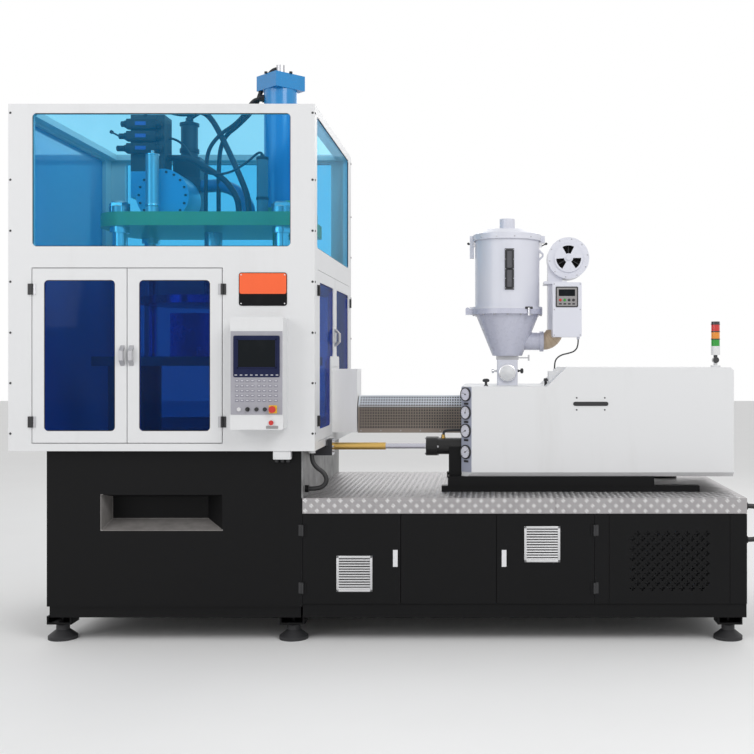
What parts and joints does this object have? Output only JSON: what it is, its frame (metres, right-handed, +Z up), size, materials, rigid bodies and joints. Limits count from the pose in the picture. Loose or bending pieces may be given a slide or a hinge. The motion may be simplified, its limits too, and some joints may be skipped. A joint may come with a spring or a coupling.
{
  "type": "injection stretch blow moulding machine",
  "caption": "Bottle moulding machine: tinted press cabinet on a clad base, chequer plate deck with a sliding injection unit, hopper dryer and operator box.",
  "frame": {"origin": "on the floor under the middle of the machine's box, hoses apart", "axes": "+X from the press cabinet to the injection unit, -Y towards the operator, +Z up"},
  "size_m": [4.623, 1.875, 3.71],
  "materials": {
    "cabinet_white": "satin powder coat",
    "frame_black": "semi gloss enamel",
    "chequer_aluminium": "five bar tread pattern",
    "upper_tint": "blue tinted sheet",
    "lower_tint": "deep blue tinted sheet",
    "panel_grey": "membrane panel",
    "chute_grey": "satin",
    "foot_steel": "black enamel",
    "platen_green": "semi gloss enamel",
    "cylinder_blue": "gloss enamel",
    "ground_steel": "ground",
    "valve_grey": "dark cast",
    "rod_chrome": "polished",
    "guard_sheet": "perforated sheet",
    "hopper_white": "gloss powder coat",
    "elbow_beige": "heat resistant paint",
    "gauge_grey": "satin",
    "red_plastic": "moulded",
    "black_plastic": "moulded",
    "tower_plastic": "stacked lenses",
    "hose_rubber": "smooth"
  },
  "bodies": {
    "machine": {"machine_base": "frame_black", "chute": "chute_grey", "deck_base": "frame_black", "deck_plates": "chequer_aluminium", "deck_perforated_panel": "frame_black", "foot_brackets": "foot_steel", "foot_pads": "foot_steel", "cabinet_lower": "cabinet_white", "cabinet_upper": "cabinet_white", "upper_windows": "upper_tint", "door_hinges": "black_plastic", "operator_box": "cabinet_white", "operator_face": "panel_grey", "lower_platen": "platen_green", "tie_bars": "ground_steel", "upper_platen": "platen_green", "clamp_cylinder": "cylinder_blue", "hydraulics": "valve_grey", "slide_rails": "frame_black", "purge_guard": "cabinet_white", "carriage_rod": "rod_chrome", "cabinet_hose": "hose_rubber", "end_hose": "hose_rubber"},
    "front_left_leaf": {"front_door_left": "cabinet_white", "front_window_left": "lower_tint"},
    "front_right_leaf": {"front_door_right": "cabinet_white", "front_window_right": "lower_tint"},
    "side_front_leaf": {"side_door_front": "cabinet_white", "side_window_front": "lower_tint"},
    "side_rear_leaf": {"side_door_rear": "cabinet_white", "side_window_rear": "lower_tint"},
    "deck_left_leaf": {"deck_door_left": "frame_black"},
    "deck_right_leaf": {"deck_door_right": "frame_black"},
    "core_carrier": {"core_platen": "platen_green"},
    "rotary_table": {"rotary_plate": "ground_steel"},
    "mould_half_left": {"mould_left": "ground_steel"},
    "mould_half_right": {"mould_right": "ground_steel"},
    "stop_button": {"emergency_stop": "red_plastic"},
    "mode_selector": {"selector": "black_plastic"},
    "press_button": {"low_button": "red_plastic"},
    "carriage": {"injection_cover": "cabinet_white", "gauge_panel": "gauge_grey", "sled": "frame_black", "barrel": "ground_steel", "injection_drive": "cylinder_blue", "barrel_guard": "guard_sheet", "carriage_cylinder": "frame_black", "feed_throat": "hopper_white", "hopper_base": "hopper_white", "hot_air_elbow": "elbow_beige", "dryer_box": "hopper_white", "blower_housing": "hopper_white", "dryer_cable": "hose_rubber"},
    "feed_screw": {"screw": "ground_steel"},
    "shut_off_gate": {"slide_gate": "ground_steel"},
    "drying_drum": {"hopper_drum": "hopper_white", "hopper_lid": "hopper_white"},
    "damper_disc": {"blower_damper": "hopper_white"},
    "fan_wheel": {"impeller": "valve_grey"},
    "tower": {"signal_tower": "tower_plastic"}
  },
  "joints": [
    {"name": "front_door_left_swing", "type": "hinge", "parent": "machine", "child": "front_left_leaf", "pos_m": [-2.094, -0.7705, 1.738], "axis": [0, 0, -1], "range_deg": [0, 105]},
    {"name": "front_door_right_swing", "type": "hinge", "parent": "machine", "child": "front_right_leaf", "pos_m": [-0.952, -0.7705, 1.738], "axis": [0, 0, 1], "range_deg": [0, 105]},
    {"name": "side_door_front_swing", "type": "hinge", "parent": "machine", "child": "side_front_leaf", "pos_m": [-0.3885, -0.645, 1.738], "axis": [0, 0, -1], "range_deg": [0, 105]},
    {"name": "side_door_rear_swing", "type": "hinge", "parent": "machine", "child": "side_rear_leaf", "pos_m": [-0.3885, 0.84, 1.738], "axis": [0, 0, 1], "range_deg": [0, 105]},
    {"name": "deck_door_left_swing", "type": "hinge", "parent": "machine", "child": "deck_left_leaf", "pos_m": [-0.4795, -0.7105, 0.506], "axis": [0, 0, -1], "range_deg": [0, 105]},
    {"name": "deck_door_right_swing", "type": "hinge", "parent": "machine", "child": "deck_right_leaf", "pos_m": [1.2885, -0.7105, 0.506], "axis": [0, 0, 1], "range_deg": [0, 105]},
    {"name": "core_platen_lift", "type": "slide", "parent": "machine", "child": "core_carrier", "axis": [0, 0, 1], "range_m": [0, 0.15]},
    {"name": "rotary_index", "type": "hinge", "parent": "machine", "child": "rotary_table", "pos_m": [-1.2215, 0.0875, 2.105], "axis": [0, 0, 1], "continuous": true},
    {"name": "mould_open", "type": "slide", "parent": "machine", "child": "mould_half_left", "axis": [-1, 0, 0], "range_m": [0, 0.08]},
    {"name": "mould_open_right", "type": "slide", "parent": "machine", "child": "mould_half_right", "axis": [1, 0, 0], "range_m": [0, 0.08]},
    {"name": "emergency_stop_press", "type": "slide", "parent": "machine", "child": "stop_button", "axis": [0, 1, 0], "range_m": [0, 0.008], "stiffness_N_per_m": 900},
    {"name": "selector_turn", "type": "hinge", "parent": "machine", "child": "mode_selector", "pos_m": [-0.7675, -0.9125, 1.422], "axis": [0, 1, 0], "range_deg": [-45, 45]},
    {"name": "low_button_press", "type": "slide", "parent": "machine", "child": "press_button", "axis": [0, 1, 0], "range_m": [0, 0.005], "stiffness_N_per_m": 900},
    {"name": "carriage_slide", "type": "slide", "parent": "machine", "child": "carriage", "axis": [1, 0, 0], "range_m": [0, 0.25]},
    {"name": "screw_turn", "type": "hinge", "parent": "carriage", "child": "feed_screw", "pos_m": [0.0635, 0.0875, 1.35], "axis": [1, 0, 0], "continuous": true},
    {"name": "gate_slide", "type": "slide", "parent": "carriage", "child": "shut_off_gate", "axis": [1, 0, 0], "range_m": [0, 0.1]},
    {"name": "drum_tilt", "type": "hinge", "parent": "carriage", "child": "drying_drum", "pos_m": [0.5045, 0.0875, 2.054], "axis": [0, -1, 0], "range_deg": [0, 90]},
    {"name": "damper_turn", "type": "hinge", "parent": "carriage", "child": "damper_disc", "pos_m": [1.1815, -0.0075, 2.397], "axis": [0, 1, 0], "range_deg": [0, 60]},
    {"name": "impeller_spin", "type": "hinge", "parent": "carriage", "child": "fan_wheel", "pos_m": [1.1815, 0.0875, 2.397], "axis": [0, 1, 0], "continuous": true},
    {"name": "tower_fold", "type": "hinge", "parent": "carriage", "child": "tower", "pos_m": [2.1335, -0.1625, 1.713], "axis": [0, -1, 0], "range_deg": [0, 90]}
  ],
  "couplings": [
    {"joint": "mould_open_right", "follows": "mould_open", "ratio": 1}
  ]
}
